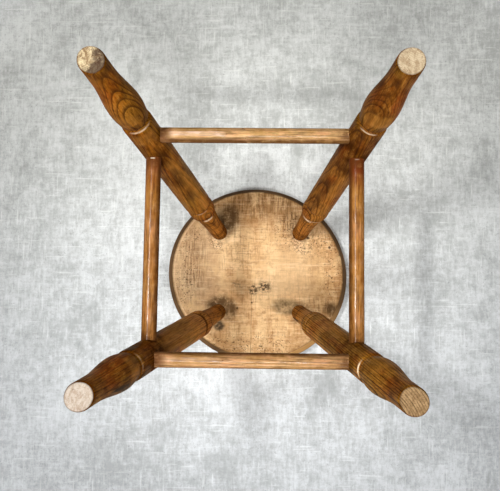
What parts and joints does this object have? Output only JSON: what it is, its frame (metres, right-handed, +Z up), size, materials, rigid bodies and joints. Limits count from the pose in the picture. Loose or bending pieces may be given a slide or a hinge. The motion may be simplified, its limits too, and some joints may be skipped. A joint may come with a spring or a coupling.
{
  "type": "joined stool",
  "caption": "Round-seat joined stool on splayed turned legs with a box of round stretchers and wedged through tenons.",
  "frame": {"origin": "on the floor, under the middle of the four feet", "axes": "+Z up; -Y is the front pair of legs; +X is to the right when facing the stool from the front"},
  "size_m": [0.407, 0.4236, 0.505],
  "materials": {
    "seat_wood": "raw, aged underside; worn polish on top and edge",
    "leg_wood": "satin varnish over stained, open-grained wood",
    "stretcher_wood": "worn satin varnish",
    "wedge_wood": "worn polish, end grain"
  },
  "bodies": {
    "root": {"seat_board": "seat_wood", "leg_front_left": "leg_wood", "leg_front_right": "leg_wood", "leg_back_left": "leg_wood", "leg_back_right": "leg_wood", "tenon_wedge_front_left": "wedge_wood", "tenon_wedge_front_right": "wedge_wood", "tenon_wedge_back_left": "wedge_wood", "tenon_wedge_back_right": "wedge_wood", "stretcher_front": "stretcher_wood", "stretcher_back": "stretcher_wood", "stretcher_left": "stretcher_wood", "stretcher_right": "stretcher_wood"}
  },
  "joints": []
}
